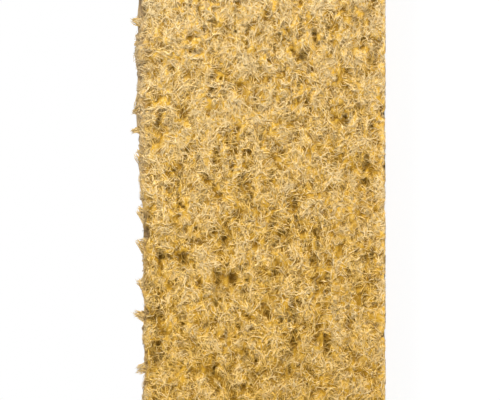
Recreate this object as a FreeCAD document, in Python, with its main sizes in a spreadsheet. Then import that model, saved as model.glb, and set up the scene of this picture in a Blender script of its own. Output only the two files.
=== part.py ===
"""A semi-rigid mineral wool slab: one block of bonded stone wool fibre, sawn to size on its four narrow sides.

Frame, in millimetres: X runs along the slab's length, Y across its width and Z through its thickness.
The origin is the middle of the broad face that the slab lies on, so +Z points to the other broad face.
"""
import FreeCAD, Part
import os
import Sketcher

OUT_FOLDER = "parts"

# Driving dimensions, in millimetres: alias, value, and what the value is.
DIMENSIONS = [
    ("slab_length", 1200.0, "length as sold, between the two sawn ends"),
    ("slab_width", 600.0, "width as sold, made to stand between studs at 600 centres"),
    ("slab_thickness", 100.0, "thickness, from one broad face to the other"),
    ("corner_radius", 6.0, "upright corners, where handling rubs the wool round"),
    ("cover_arris_radius", 4.0, "arris round the upper broad face, where the soft skin rolls over the saw cut"),
    ("bearing_arris_radius", 1.5, "arris round the lower broad face, whose denser skin keeps a crisper edge"),
]
LEVEL_TOLERANCE = 1e-6


def make_sheet(doc):
    """The spreadsheet that holds the driving dimensions, one row each."""
    sheet = doc.addObject("Spreadsheet::Sheet", "Dimensions")
    for row, (alias, value, meaning) in enumerate(DIMENSIONS, start=1):
        sheet.set(f"A{row}", alias)
        sheet.set(f"B{row}", str(value))
        sheet.setAlias(f"B{row}", alias)
        sheet.set(f"C{row}", meaning)
    doc.recompute()
    return sheet


def origin_plane(body, role):
    """One of the body's own origin planes, found by its role."""
    return next(feature for feature in body.Origin.OriginFeatures if feature.Role == role)


def centred_rectangle(body, name, length_alias, width_alias):
    """A rectangle on the body's XY plane, centred on the origin, whose two sides follow the sheet."""
    sketch = body.newObject("Sketcher::SketchObject", name)
    sketch.AttachmentSupport = [(origin_plane(body, "XY_Plane"), "")]
    sketch.MapMode = "FlatFace"
    corners = [FreeCAD.Vector(x, y, 0) for x, y in ((-1, -1), (1, -1), (1, 1), (-1, 1))]
    sides = [Part.LineSegment(corners[i], corners[(i + 1) % 4]) for i in range(4)]
    bottom, right, top, left = sketch.addGeometry(sides, False)
    for side, after in ((bottom, right), (right, top), (top, left), (left, bottom)):
        sketch.addConstraint(Sketcher.Constraint("Coincident", side, 2, after, 1))
    for side in (bottom, top):
        sketch.addConstraint(Sketcher.Constraint("Horizontal", side))
    for side in (right, left):
        sketch.addConstraint(Sketcher.Constraint("Vertical", side))
    sketch.addConstraint(Sketcher.Constraint("Symmetric", bottom, 1, right, 2, -1, 1))
    across = sketch.addConstraint(Sketcher.Constraint("DistanceX", bottom, 1, bottom, 2, 2.0))
    along = sketch.addConstraint(Sketcher.Constraint("DistanceY", right, 1, right, 2, 2.0))
    sketch.setExpression(f"Constraints[{across}]", f"Dimensions.{length_alias}")
    sketch.setExpression(f"Constraints[{along}]", f"Dimensions.{width_alias}")
    return sketch


def edge_names(shape, wanted):
    """The names, such as Edge4, of the edges of a shape that a test picks out."""
    return [f"Edge{i}" for i, edge in enumerate(shape.Edges, start=1) if wanted(edge)]


def lies_at(level):
    """A test for edges that lie at one height all along."""
    return lambda edge: all(abs(z - level) < LEVEL_TOLERANCE for z in (edge.BoundBox.ZMin, edge.BoundBox.ZMax))


def is_upright(edge):
    """True for an edge that rises through the slab's thickness."""
    return edge.BoundBox.ZLength > LEVEL_TOLERANCE


def round_edges(body, name, wanted, radius_alias):
    """A fillet, with its radius from the sheet, on the edges of the body's present tip that a test picks out."""
    body.Document.recompute()
    base = body.Tip
    fillet = body.newObject("PartDesign::Fillet", name)
    fillet.Base = (base, edge_names(base.Shape, wanted))
    fillet.setExpression("Radius", f"Dimensions.{radius_alias}")
    return fillet


def make_wool_slab(doc, sheet):
    """The slab: a sawn block whose corners and arrises the soft wool rounds off."""
    body = doc.addObject("PartDesign::Body", "WoolSlab")
    body.Label = "wool_slab"
    block = body.newObject("PartDesign::Pad", "SawnBlock")
    block.Profile = centred_rectangle(body, "BroadFaceOutline", "slab_length", "slab_width")
    block.setExpression("Length", "Dimensions.slab_thickness")
    body.Tip = block
    round_edges(body, "RubbedCorners", is_upright, "corner_radius")
    round_edges(body, "CoverArris", lies_at(sheet.slab_thickness), "cover_arris_radius")
    round_edges(body, "BearingArris", lies_at(0.0), "bearing_arris_radius")
    return body


def check(doc, sub_parts):
    """Stops with a message if an object failed to build or a sub-part isn't one valid, closed solid."""
    for item in doc.Objects:
        if {"Invalid", "Error"} & set(item.State):
            raise RuntimeError(f"{item.Name} did not build: {item.State}")
    for body in sub_parts:
        shape = body.Shape
        if shape.isNull() or not shape.isValid() or len(shape.Solids) != 1:
            raise RuntimeError(f"{body.Label} is not one valid solid")


def main():
    doc = FreeCAD.newDocument("MineralWoolSlab")
    sheet = make_sheet(doc)
    sub_parts = [make_wool_slab(doc, sheet)]
    doc.recompute()
    check(doc, sub_parts)
    os.makedirs(OUT_FOLDER, exist_ok=True)
    for body in sub_parts:
        body.Shape.exportStep(os.path.join(OUT_FOLDER, body.Label + ".step"))
        box = body.Shape.optimalBoundingBox()
        sizes = [round(size, 3) for size in (box.XLength, box.YLength, box.ZLength)]
        print(body.Label, "measures", sizes, "mm and holds", round(body.Shape.Volume / 1e6, 3), "litres")


main()
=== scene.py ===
# %% [markdown]
# # A mineral wool slab
# Rock or slag is melted, spun into fibres a few thousandths of a millimetre thick, sprayed with a
# resin that cures golden, and pressed between two belts into a felt. The felt is then sawn into slabs.
# A slab has two broad faces, which the belts pressed, and four sawn sides, where tufts are torn and
# the layers show. All of it is one piece of one stuff, so the work here is in its surface.

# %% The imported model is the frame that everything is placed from
import math

import bmesh
import bpy
import numpy as np
from mathutils import Matrix, Vector, noise
from mathutils.bvhtree import BVHTree


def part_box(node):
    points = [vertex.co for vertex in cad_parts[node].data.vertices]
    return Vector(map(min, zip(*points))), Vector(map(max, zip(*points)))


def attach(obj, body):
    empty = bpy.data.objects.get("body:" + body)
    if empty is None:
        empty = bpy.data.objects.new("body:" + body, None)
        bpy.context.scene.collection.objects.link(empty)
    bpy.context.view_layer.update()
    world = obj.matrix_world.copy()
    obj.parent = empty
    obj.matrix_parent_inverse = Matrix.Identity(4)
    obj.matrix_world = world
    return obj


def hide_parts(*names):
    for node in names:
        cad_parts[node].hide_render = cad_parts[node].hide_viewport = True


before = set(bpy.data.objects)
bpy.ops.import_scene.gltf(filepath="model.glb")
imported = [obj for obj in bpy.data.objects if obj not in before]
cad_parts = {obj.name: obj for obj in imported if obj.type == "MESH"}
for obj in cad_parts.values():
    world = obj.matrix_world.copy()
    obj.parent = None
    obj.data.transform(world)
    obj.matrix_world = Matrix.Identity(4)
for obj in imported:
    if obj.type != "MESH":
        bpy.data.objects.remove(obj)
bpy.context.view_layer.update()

MM = 0.001
noise.seed_set(5)  # noise_vector differs from run to run unless it is given a seed
slab_low, slab_high = (np.array(corner, float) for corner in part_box("wool_slab"))
print("the slab is", np.round((slab_high - slab_low) / MM, 1), "mm")

# %% [markdown]
# ## A box of cells
# The felt needs points to move. A subdivision modifier would make as many points on the hidden broad
# face as on the side that is looked at closely, so the box starts with cells of 7.5 mm, and only the
# sawn sides, and then one stretch of the front long side, are cut finer. Each cut halves a cell, and
# bmesh joins the fine part to the coarse part with no gap.

# %% Make the cells
CELL = 7.5 * MM
SKIN = 0.001 * MM  # how near a face a point must be to lie on it
CLOSE_HALF = 90 * MM  # half the length of the stretch that is cut finest


def celled_box(low, high, cell):
    """A closed box whose six sides are grids of about square cells."""
    counts = [max(1, round((high[i] - low[i]) / cell)) for i in range(3)]
    ticks = [np.linspace(low[i], high[i], counts[i] + 1) for i in range(3)]
    cells = bmesh.new()
    made = {}

    def corner(key):
        if key not in made:
            made[key] = cells.verts.new([ticks[i][key[i]] for i in range(3)])
        return made[key]

    for axis in range(3):
        across, along = (axis + 1) % 3, (axis + 2) % 3
        for side in (0, counts[axis]):
            for i in range(counts[across]):
                for j in range(counts[along]):
                    ring = []
                    for step_i, step_j in ((0, 0), (1, 0), (1, 1), (0, 1)):
                        key = [0, 0, 0]
                        key[axis], key[across], key[along] = side, i + step_i, j + step_j
                        ring.append(corner(tuple(key)))
                    cells.faces.new(ring if side else ring[::-1])
    return cells


def split_cells(cells, wanted):
    """Cuts each cell whose middle is wanted into four, always in the same order."""
    edges = dict.fromkeys(e for f in cells.faces if wanted(f.calc_center_median()) for e in f.edges)
    bmesh.ops.subdivide_edges(cells, edges=list(edges), cuts=1, use_grid_fill=True)


def on_sawn_side(p):
    return slab_low[2] + SKIN < p.z < slab_high[2] - SKIN


def on_front_side(p, half):
    """On the front long side, within about half that length of its middle, with an uneven limit."""
    ragged = 22 * MM * noise.noise(p / (20 * MM))
    return abs(p.x) < half + max(ragged, 0) and p.y < slab_low[1] + SKIN


def beside_front(p, rows):
    """On a broad face, within some rows of cells of the front side's middle stretch."""
    return abs(p.x) < CLOSE_HALF and p.y < slab_low[1] + rows * CELL and not on_sawn_side(p)


box = celled_box(slab_low, slab_high, CELL)
split_cells(box, on_sawn_side)
split_cells(box, lambda p: on_front_side(p, 300 * MM))
split_cells(box, lambda p: on_front_side(p, CLOSE_HALF))
for rows in (3.1, 2.1, 1.1):
    split_cells(box, lambda p: beside_front(p, rows))
print("the felt has", len(box.verts), "points and", len(box.faces), "cells")

# %% [markdown]
# ## Rounded arrises
# The sides meet in arrises that handling has rubbed. The one at the cover face is loose and round,
# and the one that lay on the saw's table is tight. A bevel would undo the even cells, so each point
# is moved to the nearest place on a box with round edges, which also says which way the felt faces.

# %% Put points on the slab
COVER_ARRIS, BEARING_ARRIS = 4.0 * MM, 1.5 * MM


def on_slab(points):
    """The nearest places on the rounded slab, and the ways that it faces there."""
    up = np.clip((points[:, 2:] - slab_low[2]) / (slab_high[2] - slab_low[2]), 0, 1)
    radius = BEARING_ARRIS + (COVER_ARRIS - BEARING_ARRIS) * up
    core = np.clip(points, slab_low + radius, slab_high - radius)
    facing = points - core
    facing /= np.maximum(np.linalg.norm(facing, axis=1, keepdims=True), SKIN)
    return core + radius * facing, facing


# %% [markdown]
# ## Torn relief
# Noise gives the relief. Where the size of a noise value is used, its zero crossings make creases
# between round tufts. A second noise opens some creases into clefts, a third sinks pits, and a step
# makes flakes, where a layer tore off and left an edge. The noise is read at bent coordinates, so
# that nothing lines up, and through the slab it is read faster than along it, because wool lies in
# layers parallel to the broad faces. All sizes are in millimetres.

# %% The relief of the felt
LAYERING = 1.6  # how much longer a tuft is along a layer than through it
SHIFTS = [Vector((31.7 * i, -17.3 * i, 11.9 * i)) for i in range(9)]


def ease(low, high, value):
    """0 below low, 1 above high, and a smooth step between."""
    t = min(max((value - low) / (high - low), 0.0), 1.0)
    return t * t * (3 - 2 * t)


def relief(p):
    """How high the felt stands over its true face at a point, and how deep in a crease it is there, from 0 to
    1, which sets the shade painted there.
    """
    # bent coordinates
    q = Vector((p[0] / LAYERING, p[1] / LAYERING, p[2]))
    w = q + 2.2 * noise.noise_vector(q / 6) + 0.8 * noise.noise_vector(q / 2.0 + SHIFTS[1])
    # round tufts of about 4 mm, and creases between them
    tuft = min(abs(noise.noise(w / 4.2)) / 0.4, 1.0) ** 0.8
    gape = ease(-0.3, 0.4, noise.noise(q / 9 + SHIFTS[2]))
    crease = (1 - tuft) ** 1.6 * (1.0 + 0.4 * gape)
    # clefts, twice as long along a layer as through it
    long_way = Vector((w.x / 9, w.y / 9, w.z / 4.5)) + SHIFTS[8]
    cleft = 1 - min(abs(noise.noise(long_way)) / 0.09, 1.0)
    cleft *= 3.4 * ease(0.05, 0.4, noise.noise(q / 7 - SHIFTS[2]))
    # pits, torn flakes, roughness, and the slow unevenness of the whole side
    pit = ease(0.2, 0.5, noise.noise(w / 2.3 + SHIFTS[3])) * (0.7 + 0.5 * gape)
    flake = 0.6 * ease(-0.05, 0.05, noise.noise(w / 6.5 + SHIFTS[7]))
    fine = 0.35 * noise.fractal(w / 1.4 + SHIFTS[4], 1, 2, 2)
    wave = 0.25 * noise.noise(q / 60 + SHIFTS[5]) + 0.1 * noise.noise(q / 25 + SHIFTS[6])
    sunk = crease + cleft + pit
    return wave + fine + flake - sunk + 0.5, min(sunk / 2.8, 1.0)


# %% [markdown]
# ## Slow shapes and wear
# The slab has slow shapes of its own too. The pressed face is a little loose, its arrises wave from
# being carried, and the arris on the floor is worn. These are added to the height as plain formulas,
# because they have a place on the slab, which noise alone does not.

# %% Move the points
LOOSE = 1.7 * MM  # how far the pressed face swells and sinks
EDGE_WAVE, EDGE_WAVE_LENGTH = 2.4 * MM, 500 * MM  # the slow wave along the cover face's arrises
EDGE_WAVE_DEPTH = 80 * MM  # how far that wave reaches into the cover face
WORN = 0.5 * MM  # how high the arris that lies on the floor is worn off at most
WORN_DEPTH = 4 * MM  # how far the wear reaches, inwards and upwards


def inward(points):
    """How far points are from the nearest sawn side."""
    middle = (slab_high + slab_low)[:2] / 2
    return ((slab_high - slab_low)[:2] / 2 - np.abs(points[:, :2] - middle)).min(1)


mesh = bpy.data.meshes.new("wool_slab_felt")
bmesh.ops.recalc_face_normals(box, faces=box.faces)
box.to_mesh(mesh)
box.free()
square = np.empty(len(mesh.vertices) * 3)
mesh.vertices.foreach_get("co", square)
square = square.reshape(-1, 3)
place, facing = on_slab(square)
height, painted_shade = np.array([relief(p) for p in place / MM]).T
height *= MM
upward = np.maximum(facing[:, 2], 0)
loose = LOOSE * np.array([noise.noise(Vector(p) / 14 + SHIFTS[8]) for p in place / MM])
edge_wave = EDGE_WAVE * np.sin(2 * math.pi * place[:, 0] / EDGE_WAVE_LENGTH)
height += upward * (loose + edge_wave * np.exp(-inward(place) / EDGE_WAVE_DEPTH))
below = facing[:, 2] < -0.5
height[below] = np.minimum(height[below], 0)
felted = place + facing * height[:, None]
worn = WORN * np.array([ease(-0.1, 0.35, noise.noise(Vector(p) / 6 + SHIFTS[1])) for p in place / MM])
felted[:, 2] = np.maximum(felted[:, 2], slab_low[2])
felted[:, 2] += worn * np.exp(-place[:, 2] / WORN_DEPTH) * np.exp(-inward(place) / WORN_DEPTH)
mesh.vertices.foreach_set("co", felted.ravel())
mesh.shade_smooth()
felt = bpy.data.objects.new("wool_slab_felt", mesh)
bpy.context.collection.objects.link(felt)
print("the relief runs from", round(height.min() / MM, 1), "to", round(height.max() / MM, 1), "mm")

# %% [markdown]
# ## What the colours will need
# Three numbers are kept at each point. The tone runs from golden to pale; it is partly the wool's own
# tone and partly painted light, paler where the wool stands high or free. The shade of creases and of
# gaps between strands is painted, from none where the felt stands free to most deep in a crease, and
# a greyish shade is painted on the cover face, most at its front arris. Stored on the mesh, they fit
# its relief exactly, which a pattern worked out in the material could not. Where no fine strands are
# drawn, the felt takes over their shade as painted shade.

# %% Keep tone and painted light, painted shade, and the cover face's painted shade
LIGHT_SWING, LIGHT_WAVE_LENGTH = 0.17, 650 * MM  # how far painted light makes the sawn sides paler and darker along the slab, and how slowly
SHADE_BETWEEN_STRANDS = 0.42  # painted shade on the felt where it only shows between fine strands
UNDRAWN_SHADE = 0.38  # painted shade on the felt where fine strands are too many to draw, in place of their shade
FADE_START, FADE = CLOSE_HALF - 6 * MM, 22 * MM  # where the one gives way to the other


def painted_light_swing(points, facing):
    """How much paler painted light makes the wool, in a slow wave along the slab. It hardly shows on the broad
    faces.
    """
    along = np.sin(2 * math.pi * points[:, 0] / LIGHT_WAVE_LENGTH)
    return LIGHT_SWING * along * (1 - 0.8 * np.abs(facing[:, 2]))


def painted_foot_light(points):
    """1 at the foot of the slab, where painted light makes the wool paler and takes away its painted shade, and
    0 from a few millimetres up.
    """
    return np.exp(-points[:, 2] / (1.3 * MM))


def painted_cover_shade(points, facing):
    """How much greyish shade is painted on the wool: most at the arris of the cover face, and none on the
    sides.
    """
    return np.maximum(facing[:, 2], 0) * (0.3 + 0.7 * np.exp(-inward(points) / (15 * MM)))


def keep_numbers(mesh, name, values):
    """Stores one number for each point, which the materials read by name."""
    kept = mesh.attributes.new(name, "FLOAT", "POINT")
    kept.data.foreach_set("value", np.asarray(values, np.float32))


beyond = np.clip((np.abs(place[:, 0]) - FADE_START) / FADE, 0, 1)
beyond = np.where(facing[:, 1] < -0.5, beyond, 1)
light_swing, foot_light = painted_light_swing(place, facing), painted_foot_light(place)
# Painted shade on the felt: deeper in creases and where it only shows between fine strands, and less where
# painted light makes the sawn sides paler.
painted_shade += SHADE_BETWEEN_STRANDS + (UNDRAWN_SHADE - SHADE_BETWEEN_STRANDS) * beyond - 0.5 * light_swing
# Tone and painted light: the felt is painted paler where it stands high, at its foot and along the slow wave of
# painted light, and it is kept darker in the close stretch as painted shade between fine strands.
tone_and_light = 0.1 + 0.15 * height / MM + 0.45 * beyond + light_swing + 0.6 * foot_light
keep_numbers(mesh, "painted_shade", np.clip(painted_shade, 0, 1) * (1 - foot_light))
# Grey painted shade on the cover face, most at its front arris.
keep_numbers(mesh, "painted_cover_shade", painted_cover_shade(place, facing))
keep_numbers(mesh, "tone_and_light", np.clip(tone_and_light, 0, 1))
print("the felt's tone is", round(float(tone_and_light.mean()), 2), "and it is", round(float(painted_shade.mean()), 2), "painted_shade")

# %% [markdown]
# ## Strands
# Single fibres are far too thin to draw. What the eye sees are strands, where some hundreds of them
# hold together: 0.3 mm thick and 2 to 9 mm long. Hair curves would do it, but other programs can't
# read them, so each strand is a closed three-sided sliver with a point at both ends. It lies along a
# swirling field, follows the felt under it, and stands a little off it in the middle.

# %% Where the strands lie
rng = np.random.default_rng(7)
felt_tree = BVHTree.FromObject(felt, bpy.context.evaluated_depsgraph_get())
REACH = 12 * MM  # how far off the true face the felt is looked for


def swirl(points, facing, turn, along, scale):
    """Which way strands lie at each place, with each one turned by its own angle."""
    ways = np.array([
        0.8 * noise.noise_vector(Vector(p) / (9 * scale))
        + 0.8 * noise.noise_vector(Vector(p) / (2.6 * scale))
        for p in points / MM
    ])
    ways[:, 0] += along
    ways -= facing * (ways * facing).sum(1, keepdims=True)
    ways /= np.maximum(np.linalg.norm(ways, axis=1, keepdims=True), SKIN)
    sideways = np.cross(facing, ways)
    return ways * np.cos(turn)[:, None] + sideways * np.sin(turn)[:, None]


def felt_height(points, facing):
    """How high the felt really is over each place on the slab."""
    heights = np.zeros(len(points))
    for i, (p, n) in enumerate(zip(points, facing)):
        hit = felt_tree.ray_cast(Vector(p + n * REACH), Vector(-n), 2 * REACH)
        if hit[0] is not None:
            heights[i] = REACH - hit[3]
    return heights


# %% Make slivers from lines
RING_TURNS = [math.radians(a) for a in (90, 210, 330)]


def sliver_faces(steps):
    """The triangles of one sliver: a point, a ring of three for each inner step, and a point."""
    faces = []
    last = 1 + 3 * (steps - 2)
    for k in range(3):
        n = (k + 1) % 3
        faces.append((0, 1 + n, 1 + k))
        for ring in range(steps - 2):
            a, b = 1 + 3 * ring, 4 + 3 * ring
            faces += [(a + k, a + n, b + k), (a + n, b + n, b + k)]
        faces.append((last + k, last + n, last + 3))
    return np.array(faces)


def slivers(name, lines, fronts, widths, numbers):
    """A piece made of one closed sliver along each line."""
    count, stops = lines.shape[:2]
    ahead = np.gradient(lines, axis=1)
    ahead /= np.maximum(np.linalg.norm(ahead, axis=2, keepdims=True), SKIN)
    sideways = np.cross(ahead, fronts)
    sideways /= np.maximum(np.linalg.norm(sideways, axis=2, keepdims=True), SKIN)
    out = np.cross(sideways, ahead)
    rings = [lines[:, :1]]
    for stop in range(1, stops - 1):
        for turn in RING_TURNS:
            off = sideways[:, stop] * math.cos(turn) + 0.45 * out[:, stop] * math.sin(turn)
            rings.append((lines[:, stop] + off * widths[:, None] / 2)[:, None])
    points = np.concatenate(rings + [lines[:, -1:]], axis=1)
    points[:, :, 2] = np.maximum(points[:, :, 2], slab_low[2] + 0.05 * MM)
    each = points.shape[1]
    faces = (np.arange(count)[:, None, None] * each + sliver_faces(stops - 1)).reshape(-1, 3)
    mesh = bpy.data.meshes.new(name)
    mesh.from_pydata(points.reshape(-1, 3).tolist(), [], faces.tolist())
    for key, values in numbers.items():
        keep_numbers(mesh, key, np.repeat(values, each))
    mesh.shade_smooth()
    piece = bpy.data.objects.new(name, mesh)
    bpy.context.collection.objects.link(piece)
    print(name, "has", count, "strands and", len(faces), "triangles")
    return piece


def strands(name, starts, length, width, lift, along=0.25, scale=1.0, steps=3, gap_shade=0.0):
    """Strands that lie on the felt from the given starts, with sizes that vary about those given.

    lift is how far the middle of a strand may stand off the felt, along draws the strands towards the
    slab's length, scale stretches the swirls, and the last adds painted shade to them all, as large strands
    stand for many fine ones with gaps between.
    """
    count = len(starts)
    lengths = length * rng.uniform(0.5, 1.5, count)
    widths = width * rng.uniform(0.7, 1.3, count)
    stand = rng.uniform(0, 1, count) ** 2
    turn, bend = rng.normal(0, 0.7, count), rng.normal(0, 0.4, count)
    points, facing = on_slab(starts)
    line, fronts = [points], [facing]
    for step in range(steps):
        ways = swirl(points, facing, turn + bend * step, along, scale)
        points, facing = on_slab(points + ways * (lengths / steps)[:, None])
        line.append(points)
        fronts.append(facing)
    line, fronts = np.stack(line, 1), np.stack(fronts, 1)
    ground = felt_height(line.reshape(-1, 3), fronts.reshape(-1, 3)).reshape(count, steps + 1)
    ground[:, 1:-1] = 0.6 * ground[:, 1:-1] + 0.2 * (ground[:, :-2] + ground[:, 2:])
    arch = 0.25 + np.sin(np.linspace(0, math.pi, steps + 1))
    rise = lift * stand[:, None] * arch + rng.uniform(-0.12, 0.12, (count, steps + 1)) * MM
    middle = ground[:, 1:-1].mean(1)
    light_swing, foot_light = painted_light_swing(line[:, 1], fronts[:, 1]), painted_foot_light(line[:, 1])
    # Tone and painted light: a strand is painted paler where the felt under it is high, where it stands free,
    # at the foot and along the slow wave; the random spread is its own tone.
    tone_and_light = 0.5 + 0.15 * middle / MM + 0.35 * stand + light_swing + 0.6 * foot_light
    # Painted shade for strands that lie low, less for those that stand free, and more for the gaps that large
    # strands stand for.
    painted_shade = (0.7 * MM - middle) / (2.9 * MM) - 0.25 * stand - 0.5 * light_swing + gap_shade
    numbers = {
        "tone_and_light": np.clip(tone_and_light + rng.normal(0, 0.11, count), 0, 1),
        "painted_shade": np.clip(painted_shade, 0, 1) * (1 - foot_light),
        # The cover face's grey painted shade.
        "painted_cover_shade": painted_cover_shade(line[:, 1], fronts[:, 1]),
    }
    return slivers(name, line + fronts * (ground + rise)[:, :, None], fronts, widths, numbers)


# %% [markdown]
# The stretch that is seen closely gets two sets of fine strands. They thin out beyond it, where
# larger ones take over in two steps, because from further away only larger tufts are told apart.

# %% Cover the slab with strands
CLOSE_SHORT, CLOSE_LONG = 33000, 16500
BETWEEN_COUNT, FAR_COUNT = 5000, 12000


def front_starts(count):
    """Places on the front side's middle stretch, with one in eight spilling over its ends."""
    x = rng.uniform(-0.95, 0.95, count) * CLOSE_HALF
    spill = rng.uniform(0, 1, count) < 0.12
    x[spill] = np.sign(x[spill]) * (0.95 * CLOSE_HALF + rng.exponential(45 * MM, spill.sum()))
    z = rng.uniform(slab_low[2], slab_high[2] + 3 * MM, count)
    return np.stack([x, np.full(count, slab_low[1]), z], 1)


def between_starts(count):
    """Places on the front side where the fine strands give way to the large ones."""
    side = np.where(rng.uniform(0, 1, count) < 0.5, -1, 1)
    x = side * (CLOSE_HALF + rng.triangular(-4, 6, 100, count) * MM)
    z = rng.uniform(slab_low[2], slab_high[2], count)
    return np.stack([x, np.full(count, slab_low[1]), z], 1)


def side_starts(count):
    """Places on all four sawn sides, apart from the middle of the front one."""
    long_side, short_side = slab_high[0] - slab_low[0], slab_high[1] - slab_low[1]
    walk = rng.uniform(0, 2 * (long_side + short_side), 2 * count)
    x = np.interp(walk, np.cumsum([0, long_side, short_side, long_side, short_side]),
                  [slab_low[0], slab_high[0], slab_high[0], slab_low[0], slab_low[0]])
    y = np.interp(walk, np.cumsum([0, long_side, short_side, long_side, short_side]),
                  [slab_low[1], slab_low[1], slab_high[1], slab_high[1], slab_low[1]])
    free = (np.abs(x) > CLOSE_HALF + rng.uniform(10, 70, len(x)) * MM) | (y > slab_low[1] + SKIN)
    z = rng.uniform(slab_low[2], slab_high[2], len(x))
    return np.stack([x, y, z], 1)[free][:count]


def cover_starts(count):
    """Places on the cover face, apart from what is beside the front side's middle stretch."""
    x = rng.uniform(slab_low[0], slab_high[0], 2 * count)
    y = rng.uniform(slab_low[1], slab_high[1], 2 * count)
    free = (np.abs(x) > CLOSE_HALF + 20 * MM) | (y > slab_low[1] + 30 * MM)
    return np.stack([x, y, np.full(2 * count, slab_high[2])], 1)[free][:count]


pieces = [
    strands("side_strands_short", front_starts(CLOSE_SHORT), 3.3 * MM, 0.35 * MM, 0.5 * MM, steps=2),
    strands("side_strands_long", front_starts(CLOSE_LONG), 5.8 * MM, 0.31 * MM, 0.9 * MM),
    strands("side_strands_between", between_starts(BETWEEN_COUNT), 7 * MM, 0.5 * MM, 1.3 * MM,
            scale=1.5, gap_shade=0.05),
    strands("sawn_side_tufts", side_starts(FAR_COUNT), 13 * MM, 1.1 * MM, 2.0 * MM, scale=2.5, gap_shade=0.1),
    strands("cover_face_tufts", cover_starts(FAR_COUNT), 20 * MM, 1.3 * MM, 1.6 * MM, 0.0, 4.0),
]

# %% [markdown]
# ## Torn tufts at the arris
# The saw drags wool over the arris of the cover face, and leaves flaps that stick out a few
# millimetres. Each is a bunch of strands that run together to one side, like the teeth of a saw.

# %% Make the torn tufts
TORN_TUFTS = (  # place along the slab, width at the root and reach, in mm
    (72, 4, 4.5), (64, 1.5, 2.0), (42, 13, 2.4), (37, 3.5, 3.4), (29, 2.5, 4.0), (17, 7, 2.4), (-7, 9, 1.8),
    (-20, 9, 2.0), (-35, 6, 1.8), (-48, 5, 3.8), (-68, 5, 2.2),
)


def torn_tufts(name, tufts, strands_each):
    """Bunches of strands from the front arris of the cover face, each running to a point at one side."""
    rows = []
    for place, width, reach in tufts:
        root = np.zeros((strands_each, 3))
        root[:, 0] = (place + rng.uniform(-0.5, 0.5, strands_each) * width) * MM
        root[:, 1] = slab_low[1] + rng.uniform(0.5, 5, strands_each) * MM
        root[:, 2] = slab_high[2] - 1.5 * MM
        root, facing = on_slab(root)
        root += facing * (felt_height(root, facing) - 0.6 * MM)[:, None]
        tip = np.array([(place + rng.choice([-0.45, 0.45]) * width) * MM, slab_low[1] + 2 * MM,
                        slab_high[2] + reach * MM])
        share = rng.uniform(0.1, 0.95, strands_each)[:, None]
        end = root + (tip - root) * share + rng.normal(0, 0.6 * MM, (strands_each, 3))
        stops = []
        for t in (0, 0.35, 0.7, 1):
            kink = rng.normal(0, 0.25 * MM, (strands_each, 3)) * math.sin(math.pi * t)
            stops.append(root + (end - root) * t + kink)
        rows.append(np.stack(stops, 1))
    lines = np.concatenate(rows)
    count = len(lines)
    fronts = np.broadcast_to(np.array([0.0, -1.0, 0.0]), lines.shape)
    # The tufts' tone is random; they get a little painted shade, and the cover face's grey painted shade.
    numbers = {
        "tone_and_light": rng.uniform(0.2, 1.0, count),
        "painted_shade": np.full(count, 0.15),
        "painted_cover_shade": np.full(count, 0.6),
    }
    return slivers(name, lines, fronts, rng.uniform(0.25, 0.5, count) * MM, numbers)


pieces.append(torn_tufts("cover_arris_tufts", TORN_TUFTS, 80))

# %% [markdown]
# ## Colours
# One function turns an sRGB hex colour into Blender's linear numbers, and one adds a node with its
# settings and its links, so that a material reads from top to bottom.

# %% Two helpers for materials


def linear(code):
    """An sRGB hex colour as Blender's linear numbers."""
    parts = [int(code[i:i + 2], 16) / 255 for i in (1, 3, 5)]
    return [c / 12.92 if c <= 0.04045 else ((c + 0.055) / 1.055) ** 2.4 for c in parts] + [1.0]


def add_node(tree, kind, settings=None, inputs=None):
    """Adds a node, sets its settings, and links or fills its inputs."""
    node = tree.nodes.new(kind)
    for name, value in (settings or {}).items():
        setattr(node, name, value)
    for socket, value in (inputs or {}).items():
        if isinstance(value, bpy.types.NodeSocket):
            tree.links.new(value, node.inputs[socket])
        else:
            node.inputs[socket].default_value = value
    return node


# %% [markdown]
# ## Mineral wool
# The fibres are glassy and the resin on them is golden. Light scatters from fibre to fibre, so the
# felt is matt. Its own colour runs from golden, where resin gathered, to cream. Painted light makes it
# paler where strands stand free, and painted shade makes it a deep ochre in its creases, for light
# that has met the resin many times. Roughness is high, and the index of refraction is that of glass
# wool, 1.5, but fine fibres turn their gloss every way, so little of it is seen.

# %% The colour of mineral wool
# OCHRE also paints shade in creases, and the last colour is the grey of the shade painted on the cover face.
CREAM, STRAW, GOLD, OCHRE, COVER_SHADE_GREY = "#edd6a3", "#eac262", "#d6a62d", "#775304", "#a48c6c"


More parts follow.
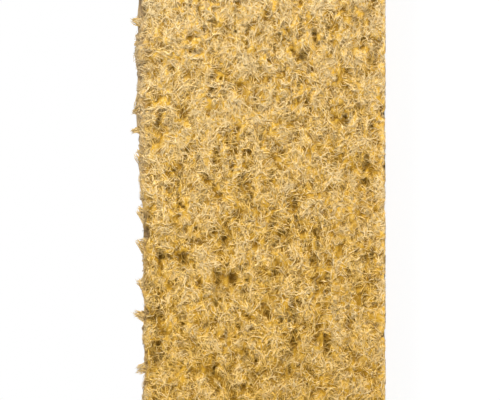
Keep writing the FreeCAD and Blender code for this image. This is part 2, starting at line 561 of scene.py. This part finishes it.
def wool_colour(tree, tone_and_light, painted_shade, painted_cover_shade, place):
    """A socket for the colour: the tone runs from gold to cream and is partly painted light, the painted shade
    of creases goes to ochre, and the painted shade of the cover face to grey.
    """

    def spots(size_mm, low, high, shift):
        moved = add_node(tree, "ShaderNodeVectorMath", {"operation": "ADD"},
                         {0: place, 1: (shift, shift, shift)}).outputs[0]
        grain = add_node(tree, "ShaderNodeTexNoise", {}, {
            "Vector": moved, "Scale": 1000 / size_mm, "Detail": 3.0, "Roughness": 0.6}).outputs[0]
        return grain, low, high

    def layer(under, code, where, most=1.0):
        """Lays a colour over another, where a value rises between two limits."""
        value, low, high = where
        share = add_node(tree, "ShaderNodeMapRange", {"interpolation_type": "SMOOTHSTEP"}, {
            "Value": value, "From Min": low, "From Max": high, "To Max": most}).outputs[0]
        return add_node(tree, "ShaderNodeMix", {"data_type": "RGBA"}, {
            "Factor": share, "A": under, "B": linear(code)}).outputs["Result"]

    # The tone runs from gold to cream: partly the wool's own tone, partly painted light where the wool stands
    # high or free.
    colour = layer(linear(GOLD), STRAW, (tone_and_light, 0.0, 0.5))
    colour = layer(colour, CREAM, (tone_and_light, 0.45, 1.0))
    colour = layer(colour, GOLD, spots(12, 0.48, 0.7, 0.3), 0.12)
    colour = layer(colour, CREAM, spots(6, 0.5, 0.72, 2.9), 0.2)
    # Small ochre flecks of about 1.2 mm: dark specks in the wool, and painted shade of its tiny pores.
    colour = layer(colour, OCHRE, spots(1.2, 0.54, 0.68, 4.1), 0.6)
    # Painted shade: deep ochre in creases, between strands and on strands that lie low.
    colour = layer(colour, OCHRE, (painted_shade, 0.0, 0.9), 0.95)
    # Painted shade: grey on the cover face, most at its front arris.
    return layer(colour, COVER_SHADE_GREY, (painted_cover_shade, 0.0, 1.0), 0.65)


def wool_material(name, roughness):
    """A mineral wool material, with its shader and what its nodes need."""
    material = bpy.data.materials.new(name)
    material.use_nodes = True
    tree = material.node_tree
    shader = tree.nodes["Principled BSDF"]
    shader.inputs["IOR"].default_value = 1.5
    shader.inputs["Specular IOR Level"].default_value = 0.25
    shader.inputs["Roughness"].default_value = roughness
    place = add_node(tree, "ShaderNodeTexCoord").outputs["Object"]
    kept = [add_node(tree, "ShaderNodeAttribute", {"attribute_name": key}).outputs["Fac"]
            for key in ("tone_and_light", "painted_shade", "painted_cover_shade")]
    return material, tree, shader, place, kept


# %% [markdown]
# The felt under the strands is drawn as a fine tangle: noise of 1 mm, the smallest that still shows,
# sets its tone, its bumps and its roughness.

# %% Felt and strands
wool, tree, shader, place, kept = wool_material("mineral_wool_felt", 0.9)
tangle = add_node(tree, "ShaderNodeTexNoise", {}, {
    "Vector": place, "Scale": 1000 / 1.1, "Detail": 4.0, "Roughness": 0.7}).outputs[0]
uneven = add_node(tree, "ShaderNodeMapRange", {}, {
    "Value": tangle, "From Min": 0.35, "From Max": 0.65, "To Min": -0.5, "To Max": 0.5}).outputs[0]
kept[0] = add_node(tree, "ShaderNodeMath", {"use_clamp": True}, {0: kept[0], 1: uneven}).outputs[0]
dull = add_node(tree, "ShaderNodeMapRange", {}, {
    "Value": tangle, "To Min": 0.8, "To Max": 1.0}).outputs[0]
bumps = add_node(tree, "ShaderNodeBump", {}, {"Height": tangle, "Strength": 0.7, "Distance": 0.6 * MM})
tree.links.new(wool_colour(tree, *kept, place), shader.inputs["Base Color"])
tree.links.new(dull, shader.inputs["Roughness"])
tree.links.new(bumps.outputs[0], shader.inputs["Normal"])
felt.data.materials.append(wool)

strand_wool, tree, shader, place, kept = wool_material("mineral_wool_strands", 0.8)
tree.links.new(wool_colour(tree, *kept, place), shader.inputs["Base Color"])
for piece in pieces:
    piece.data.materials.append(strand_wool)
print("the wool has", len(wool.node_tree.nodes), "nodes, and on strands", len(strand_wool.node_tree.nodes))

# %% Put each piece on the root body and hide the imported slab
for piece in [felt] + pieces:
    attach(piece, "root")
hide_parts("wool_slab")

# %% [markdown]
# ## A white studio
# The floor and the air are white to the camera and lit plainly for the object. Light Path tells the
# two apart: a ray from the camera sees white, and any other ray meets ordinary paper or dim air.
# The floor keeps a share of its real shading, so that the shadow stays.

# %% Floor and air
FLOOR_HALF = 6.0


def seen_directly(tree):
    """A socket that is 1 for rays from the camera, for gloss and for glass, and 0 for the rest."""
    path = add_node(tree, "ShaderNodeLightPath")
    seen = path.outputs["Is Camera Ray"]
    for key in ("Is Glossy Ray", "Is Transmission Ray"):
        seen = add_node(tree, "ShaderNodeMath", {"operation": "MAXIMUM"},
                        {0: seen, 1: path.outputs[key]}).outputs[0]
    return seen


ground = bpy.data.meshes.new("studio_floor")
corners = [(FLOOR_HALF * x, FLOOR_HALF * y, 0) for x, y in ((-1, -1), (1, -1), (1, 1), (-1, 1))]
ground.from_pydata(corners, [], [(0, 1, 2, 3)])
floor = bpy.data.objects.new("studio_floor", ground)
bpy.context.collection.objects.link(floor)

paper = bpy.data.materials.new("white_paper")
paper.use_nodes = True
tree = paper.node_tree
shader = tree.nodes["Principled BSDF"]
shader.inputs["Base Color"].default_value = linear("#f0f0f0")
shader.inputs["Roughness"].default_value = 0.9
share = add_node(tree, "ShaderNodeMath", {"operation": "MULTIPLY"}, {0: seen_directly(tree), 1: 0.85})
glow = add_node(tree, "ShaderNodeEmission", {}, {"Color": (1, 1, 1, 1), "Strength": 1.05})
both = add_node(tree, "ShaderNodeMixShader", {}, {
    0: share.outputs[0], 1: shader.outputs[0], 2: glow.outputs[0]})
tree.links.new(both.outputs[0], tree.nodes["Material Output"].inputs["Surface"])
ground.materials.append(paper)

air = bpy.data.worlds.new("studio_air")
bpy.context.scene.world = air
air.use_nodes = True
tree = air.node_tree
tree.nodes.clear()
dim = add_node(tree, "ShaderNodeBackground", {}, {"Color": (1, 1, 1, 1), "Strength": 0.42})
white = add_node(tree, "ShaderNodeBackground", {}, {"Color": (1, 1, 1, 1), "Strength": 1.0})
both = add_node(tree, "ShaderNodeMixShader", {}, {
    0: seen_directly(tree), 1: dim.outputs[0], 2: white.outputs[0]})
add_node(tree, "ShaderNodeOutputWorld", {}, {"Surface": both.outputs[0]})

# %% [markdown]
# ## Lamps
# A large softbox stands low in front of the long side, towards one end, so that it rakes along the
# wool and leaves the cover face darker. A weaker one lights the back.

# %% Lamps


def softbox(name, place, target, size, power):
    """A square area lamp that looks at a target."""
    lamp = bpy.data.lights.new(name, "AREA")
    lamp.shape = "SQUARE"
    lamp.size = size
    lamp.energy = power
    holder = bpy.data.objects.new(name, lamp)
    holder.location = place
    holder.rotation_euler = (Vector(target) - Vector(place)).to_track_quat("-Z", "Y").to_euler()
    bpy.context.collection.objects.link(holder)
    print(name, "gives", power, "W")


softbox("key_softbox", (1.2, -1.95, 0.2), (0, -0.3, 0.05), 0.9, 89)
softbox("back_softbox", (-1.2, 1.9, 1.4), (0, 0, 0.05), 1.6, 75)

# %% [markdown]
# ## The camera
# It looks level at the front long side from 0.6 m, through a long lens, and lies on its side, so
# that the slab's length runs up the picture and its cover face is on the left.

# %% The camera
DISTANCE, VIEW_WIDTH, EYE_HEIGHT = 0.6, 0.2035, 0.0554
eye = bpy.data.cameras.new("close_camera")
eye.lens = eye.sensor_width * DISTANCE / VIEW_WIDTH
holder = bpy.data.objects.new("close_camera", eye)
right, up, back = (0, 0, -1), (1, 0, 0), (0, -1, 0)
turned = Matrix((right, up, back)).transposed().to_4x4()
holder.matrix_world = Matrix.Translation((0, slab_low[1] - DISTANCE, EYE_HEIGHT)) @ turned
bpy.context.collection.objects.link(holder)
bpy.context.scene.camera = holder
bpy.context.scene.view_settings.view_transform = "Standard"
print("the camera sees", round(VIEW_WIDTH / MM), "mm of the long side's plane from side to side")
